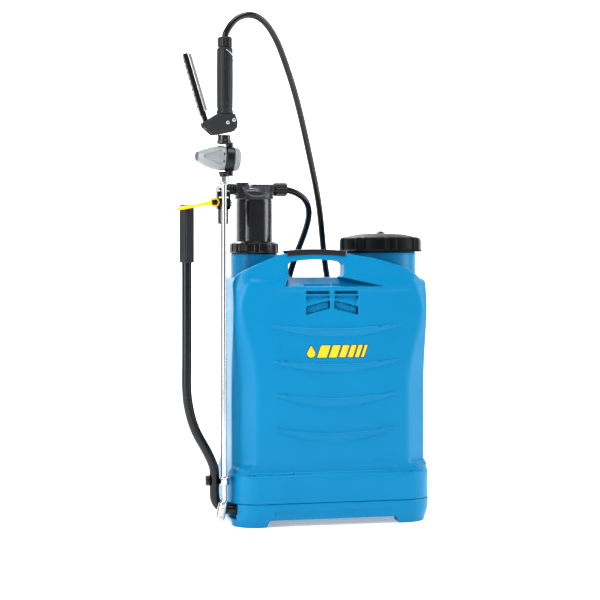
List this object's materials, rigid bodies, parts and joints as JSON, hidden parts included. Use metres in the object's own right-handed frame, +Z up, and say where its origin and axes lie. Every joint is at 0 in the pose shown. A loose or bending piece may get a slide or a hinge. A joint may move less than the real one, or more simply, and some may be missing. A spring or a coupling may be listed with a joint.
{
  "type": "backpack sprayer",
  "caption": "Knapsack sprayer: blue moulded tank on a footed base, side lever that drives a piston pump, screw lid, shoulder straps, hose and a parked lance with trigger gun.",
  "frame": {"origin": "on the floor, under the middle of the whole object without its hose", "axes": "+Z up, X along the width of the tank with the pump and lance at -X, +Y towards the wearer's back, so -Y is the outer face"},
  "size_m": [0.4592, 0.2293, 0.8952],
  "materials": {
    "blue_plastic": "satin moulded polyethylene",
    "black_plastic": "satin moulded black plastic",
    "black_rubber": "matt",
    "painted_steel": "semi-gloss dark grey",
    "chromed_brass": "polished",
    "stainless_steel": "satin",
    "grey_plastic": "satin",
    "yellow_plastic": "satin",
    "natural_plastic": "matt",
    "strap_fabric": "woven"
  },
  "bodies": {
    "frame": {"tank": "blue_plastic", "base": "blue_plastic", "base_screw_1": "stainless_steel", "base_screw_2": "stainless_steel", "base_screw_3": "stainless_steel", "base_screw_4": "stainless_steel", "handle_grip": "black_rubber", "cylinder_gasket": "black_rubber", "pump_cylinder": "natural_plastic", "pump_collar_nut": "black_plastic", "foot_strainer": "natural_plastic", "inlet_valve_ball": "stainless_steel", "shaft_bush_left": "black_plastic", "shaft_bush_right": "black_plastic", "hose_clip": "black_plastic", "hose_loop": "black_rubber", "hose_run": "black_rubber", "strap_pad_left": "strap_fabric", "strap_pad_right": "strap_fabric", "strap_buckle_left": "black_plastic", "strap_buckle_right": "black_plastic", "strap_webbing_left": "strap_fabric", "strap_webbing_right": "strap_fabric"},
    "pump_chamber": {"pressure_chamber": "black_plastic", "pump_head": "black_plastic", "outlet_nut": "black_plastic", "piston_tube": "stainless_steel", "piston": "black_plastic", "piston_seal": "black_rubber", "outlet_valve_ball": "stainless_steel", "yoke_arm": "black_plastic", "rod_pin": "stainless_steel"},
    "pump_rod": {"pump_rod": "painted_steel", "rod_eye_pin": "stainless_steel"},
    "lever": {"lever_tube": "painted_steel", "lever_grip": "black_rubber", "lever_shaft": "stainless_steel", "lever_bolt": "black_plastic"},
    "lever_clip": {"lever_clip": "yellow_plastic"},
    "gun": {"lance_tube": "chromed_brass", "lance_lower_nut": "chromed_brass", "lance_upper_nut": "chromed_brass", "regulator_body": "black_plastic", "regulator_cap": "grey_plastic", "neck_nut": "black_plastic", "trigger_housing": "black_plastic", "housing_rivet_1": "chromed_brass", "housing_rivet_2": "chromed_brass", "gun_grip": "black_rubber", "hose_nut": "black_plastic"},
    "regulator_knob": {"regulator_knob": "grey_plastic"},
    "trigger": {"trigger_lever": "black_plastic", "trigger_strip": "chromed_brass"},
    "trigger_catch": {"trigger_catch": "chromed_brass"},
    "nozzle": {"nozzle_cap": "chromed_brass"},
    "lid_carrier": {"lid_gasket": "black_rubber"},
    "lid": {"lid": "black_plastic", "vent_valve": "black_plastic"},
    "strainer": {"filler_strainer": "natural_plastic"}
  },
  "joints": [
    {"name": "lever_swing", "type": "hinge", "parent": "frame", "child": "lever", "pos_m": [-0.14637, -0.07375, 0.03], "axis": [-1, 0, 0], "range_deg": [0, 110]},
    {"name": "pump_stroke", "type": "slide", "parent": "frame", "child": "pump_chamber", "axis": [0, 0, -1], "range_m": [0, 0.0712], "deforming": ["hose_loop"]},
    {"name": "rod_swing", "type": "hinge", "parent": "pump_chamber", "child": "pump_rod", "pos_m": [-0.14687, -0.07375, 0.56], "axis": [1, 0, 0], "range_deg": [0, 5.78]},
    {"name": "clip_swing", "type": "hinge", "parent": "pump_chamber", "child": "lever_clip", "pos_m": [-0.16397, -0.08675, 0.5608], "axis": [0, 1, 0], "range_deg": [0, 45]},
    {"name": "lance_unclip", "type": "slide", "parent": "frame", "child": "gun", "axis": [0, 0, 1], "range_m": [0, 0.06], "deforming": ["hose_run"]},
    {"name": "trigger_squeeze", "type": "hinge", "parent": "gun", "child": "trigger", "pos_m": [-0.17537, -0.09075, 0.692], "axis": [0, 1, 0], "range_deg": [0, 17], "stiffness_Nm_per_rad": 0.6, "springref_deg": -14.32},
    {"name": "catch_swing", "type": "hinge", "parent": "gun", "child": "trigger_catch", "pos_m": [-0.14677, -0.09075, 0.8215], "axis": [0, -1, 0], "range_deg": [0, 35]},
    {"name": "regulator_turn", "type": "hinge", "parent": "gun", "child": "regulator_knob", "pos_m": [-0.13777, -0.09075, 0.6355], "axis": [-0.9976, 0, 0.0698], "range_deg": [0, 270]},
    {"name": "nozzle_turn", "type": "hinge", "parent": "gun", "child": "nozzle", "pos_m": [-0.14937, -0.09075, 0.0455], "axis": [-0.2147, 0, -0.9767], "range_deg": [0, 180]},
    {"name": "lid_lift", "type": "slide", "parent": "frame", "child": "lid_carrier", "axis": [0, 0, 1], "range_m": [0, 0.25]},
    {"name": "lid_turn", "type": "hinge", "parent": "lid_carrier", "child": "lid", "pos_m": [0.15263, -0.00575, 0.495], "axis": [0, 0, 1], "range_deg": [0, 270]},
    {"name": "strainer_lift", "type": "slide", "parent": "frame", "child": "strainer", "axis": [0, 0, 1], "range_m": [0, 0.151]}
  ],
  "couplings": [
    {"joint": "pump_stroke", "follows": "lever_swing", "m_per_rad": 0.036898},
    {"joint": "rod_swing", "follows": "lever_swing", "ratio": 0.0522},
    {"joint": "strainer_lift", "follows": "lid_lift", "ratio": 0.6}
  ]
}
